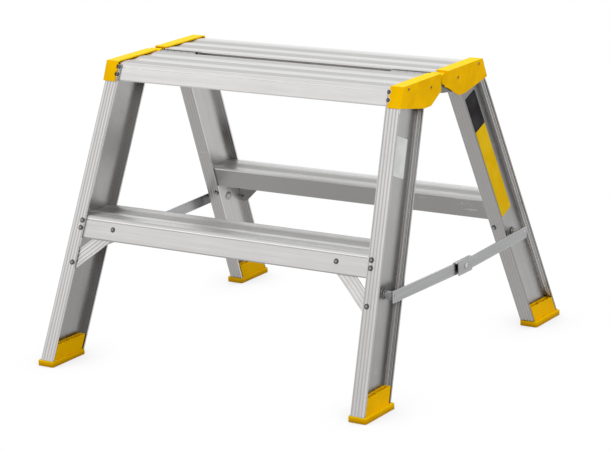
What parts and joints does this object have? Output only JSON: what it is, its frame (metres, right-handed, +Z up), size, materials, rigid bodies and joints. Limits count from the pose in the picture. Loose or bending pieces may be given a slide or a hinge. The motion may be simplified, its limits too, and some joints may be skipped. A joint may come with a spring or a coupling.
{
  "type": "folding step trestle",
  "caption": "Low double-sided folding step trestle: two splayed aluminium ladder frames hinged at the top platform, with yellow end caps and feet and folding stays.",
  "frame": {"origin": "on the floor under the middle of the trestle, open and standing", "axes": "+X along the trestle's length, +Y from the front ladder frame to the rear one, +Z up"},
  "size_m": [0.6664, 0.6534, 0.5],
  "materials": {
    "stile_aluminium": "extruded, reeded, satin",
    "tread_aluminium": "extruded, fine teeth, satin",
    "rivet_metal": "domed, dull",
    "zinc_steel": "zinc plated",
    "yellow_plastic": "moulded, satin"
  },
  "bodies": {
    "front_frame": {"platform_front": "tread_aluminium", "step_front": "tread_aluminium", "stile_front_right": "stile_aluminium", "brace_front_right": "stile_aluminium", "foot_front_right": "yellow_plastic", "end_cap_front_right": "yellow_plastic", "hinge_leaf_front_right": "stile_aluminium", "step_rivet_upper_front_right": "rivet_metal", "step_rivet_lower_front_right": "rivet_metal", "step_rivet_hinge_side_front_right": "rivet_metal", "brace_rivet_lower_front_right": "rivet_metal", "brace_rivet_upper_front_right": "rivet_metal", "stile_front_left": "stile_aluminium", "brace_front_left": "stile_aluminium", "foot_front_left": "yellow_plastic", "end_cap_front_left": "yellow_plastic", "hinge_leaf_front_left": "stile_aluminium", "step_rivet_upper_front_left": "rivet_metal", "step_rivet_lower_front_left": "rivet_metal", "step_rivet_hinge_side_front_left": "rivet_metal", "brace_rivet_lower_front_left": "rivet_metal", "brace_rivet_upper_front_left": "rivet_metal", "hinge_pin_right": "zinc_steel", "hinge_pin_left": "zinc_steel", "stay_stud_front_right": "zinc_steel", "stay_stud_front_left": "zinc_steel"},
    "rear_frame": {"platform_rear": "tread_aluminium", "step_rear": "tread_aluminium", "stile_rear_left": "stile_aluminium", "brace_rear_left": "stile_aluminium", "foot_rear_left": "yellow_plastic", "end_cap_rear_left": "yellow_plastic", "hinge_leaf_rear_left": "stile_aluminium", "step_rivet_upper_rear_left": "rivet_metal", "step_rivet_lower_rear_left": "rivet_metal", "step_rivet_hinge_side_rear_left": "rivet_metal", "brace_rivet_lower_rear_left": "rivet_metal", "brace_rivet_upper_rear_left": "rivet_metal", "stile_rear_right": "stile_aluminium", "brace_rear_right": "stile_aluminium", "foot_rear_right": "yellow_plastic", "end_cap_rear_right": "yellow_plastic", "hinge_leaf_rear_right": "stile_aluminium", "step_rivet_upper_rear_right": "rivet_metal", "step_rivet_lower_rear_right": "rivet_metal", "step_rivet_hinge_side_rear_right": "rivet_metal", "brace_rivet_lower_rear_right": "rivet_metal", "brace_rivet_upper_rear_right": "rivet_metal", "stay_stud_rear_right": "zinc_steel", "stay_stud_rear_left": "zinc_steel"},
    "stay_front_right": {"stay_bar_front_right": "zinc_steel"},
    "stay_front_left": {"stay_bar_front_left": "zinc_steel"},
    "stay_rear_right": {"stay_bar_rear_right": "zinc_steel", "stay_clip_right": "zinc_steel", "stay_rivet_right": "zinc_steel"},
    "stay_rear_left": {"stay_bar_rear_left": "zinc_steel", "stay_clip_left": "zinc_steel", "stay_rivet_left": "zinc_steel"}
  },
  "joints": [
    {"name": "frame_fold", "type": "hinge", "parent": "front_frame", "child": "rear_frame", "pos_m": [0, 0, 0.489], "axis": [-1, 0, 0], "range_deg": [0, 42]},
    {"name": "stay_turn_right", "type": "hinge", "parent": "front_frame", "child": "stay_front_right", "pos_m": [0.324, -0.211, 0.179], "axis": [1, 0, 0], "range_deg": [0, 43.3]},
    {"name": "stay_knee_right", "type": "hinge", "parent": "stay_front_right", "child": "stay_rear_right", "pos_m": [0.325, 0.006, 0.1735], "axis": [-1, 0, 0], "range_deg": [0, 135.6]},
    {"name": "stay_turn_left", "type": "hinge", "parent": "front_frame", "child": "stay_front_left", "pos_m": [-0.324, -0.211, 0.179], "axis": [1, 0, 0], "range_deg": [0, 43.3]},
    {"name": "stay_knee_left", "type": "hinge", "parent": "stay_front_left", "child": "stay_rear_left", "pos_m": [-0.325, 0.006, 0.1735], "axis": [-1, 0, 0], "range_deg": [0, 135.6]}
  ],
  "couplings": [
    {"joint": "stay_turn_right", "follows": "frame_fold", "ratio": 1.0198},
    {"joint": "stay_knee_right", "follows": "frame_fold", "ratio": 3.2159},
    {"joint": "stay_turn_left", "follows": "frame_fold", "ratio": 1.0198},
    {"joint": "stay_knee_left", "follows": "frame_fold", "ratio": 3.2159}
  ]
}
